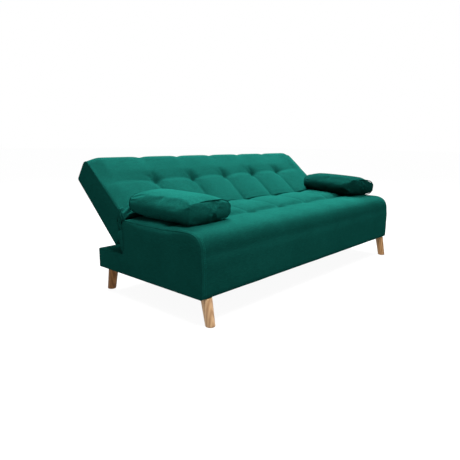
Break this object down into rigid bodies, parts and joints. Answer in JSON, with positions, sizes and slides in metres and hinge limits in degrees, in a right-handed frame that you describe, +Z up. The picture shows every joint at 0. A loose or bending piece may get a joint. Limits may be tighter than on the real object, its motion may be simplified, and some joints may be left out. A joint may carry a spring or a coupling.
{
  "type": "futon sofa bed",
  "caption": "Low armless sofa bed with a tufted seat, a padded backrest that clicks down flat on toothed hinges, splayed round legs and loose bolster cushions.",
  "frame": {"origin": "on the floor, in the middle of the object's outer box: midway between the ends, and midway between the front feet and the backrest's top rear edge", "axes": "+Z up, +X along the sofa's width to the right as seen from the front, -Y out of the seat's front face"},
  "size_m": [1.8174, 0.964, 0.679],
  "materials": {
    "upholstery_fabric": "matte",
    "lining_cloth": "matte",
    "foam": "matte",
    "frame_wood": "matte",
    "leg_wood": "satin",
    "webbing": "matte",
    "hinge_steel": "satin"
  },
  "bodies": {
    "base": {"leg_front_left": "leg_wood", "leg_bolt_front_left": "hinge_steel", "leg_nut_front_left": "hinge_steel", "corner_post_front_left": "frame_wood", "leg_front_right": "leg_wood", "leg_bolt_front_right": "hinge_steel", "leg_nut_front_right": "hinge_steel", "corner_post_front_right": "frame_wood", "leg_rear_left": "leg_wood", "leg_bolt_rear_left": "hinge_steel", "leg_nut_rear_left": "hinge_steel", "corner_post_rear_left": "frame_wood", "leg_rear_right": "leg_wood", "leg_bolt_rear_right": "hinge_steel", "leg_nut_rear_right": "hinge_steel", "corner_post_rear_right": "frame_wood", "side_panel_left": "frame_wood", "side_panel_right": "frame_wood", "front_rail": "frame_wood", "rear_rail": "frame_wood", "seat_back_rail": "frame_wood", "tail_deck": "frame_wood", "centre_rib": "frame_wood", "tail_rib": "frame_wood", "seat_webbing_1": "webbing", "seat_webbing_2": "webbing", "seat_webbing_3": "webbing", "seat_webbing_4": "webbing", "seat_webbing_5": "webbing", "seat_foam": "foam", "base_cover": "upholstery_fabric", "dust_cover": "lining_cloth", "hinge_seat_arm_left": "hinge_steel", "hinge_pin_left": "hinge_steel", "pawl_pin_left": "hinge_steel", "pawl_spring_left": "hinge_steel", "hinge_seat_arm_right": "hinge_steel", "hinge_pin_right": "hinge_steel", "pawl_pin_right": "hinge_steel", "pawl_spring_right": "hinge_steel"},
    "backrest": {"hinge_back_arm_left": "hinge_steel", "hinge_back_arm_right": "hinge_steel", "back_stile_left": "frame_wood", "back_stile_right": "frame_wood", "back_top_rail": "frame_wood", "back_bottom_rail": "frame_wood", "back_centre_stile": "frame_wood", "back_webbing_1": "webbing", "back_webbing_2": "webbing", "back_webbing_3": "webbing", "back_webbing_4": "webbing", "back_foam": "foam", "back_cover": "upholstery_fabric", "back_panel": "lining_cloth"},
    "pawl_left": {"hinge_pawl_left": "hinge_steel"},
    "pawl_right": {"hinge_pawl_right": "hinge_steel"},
    "bolster_left": {"bolster_left": "upholstery_fabric"},
    "bolster_right": {"bolster_right": "upholstery_fabric"}
  },
  "joints": [
    {"name": "recline", "type": "hinge", "parent": "base", "child": "backrest", "pos_m": [0, 0.08022, 0.31065], "axis": [1, 0, 0], "range_deg": [-42.9, 20]},
    {"name": "pawl_left_turn", "type": "hinge", "parent": "base", "child": "pawl_left", "pos_m": [-0.87, 0.045, 0.336], "axis": [1, 0, 0], "range_deg": [0, 16], "stiffness_Nm_per_rad": 0.4, "springref_deg": -20.05},
    {"name": "pawl_right_turn", "type": "hinge", "parent": "base", "child": "pawl_right", "pos_m": [0.87, 0.045, 0.336], "axis": [1, 0, 0], "range_deg": [0, 16], "stiffness_Nm_per_rad": 0.4, "springref_deg": -20.05},
    {"name": "bolster_left_lift", "type": "slide", "parent": "base", "child": "bolster_left", "axis": [0, 0, 1], "range_m": [0, 0.3]},
    {"name": "bolster_right_lift", "type": "slide", "parent": "base", "child": "bolster_right", "axis": [0, 0, 1], "range_m": [0, 0.3]}
  ]
}
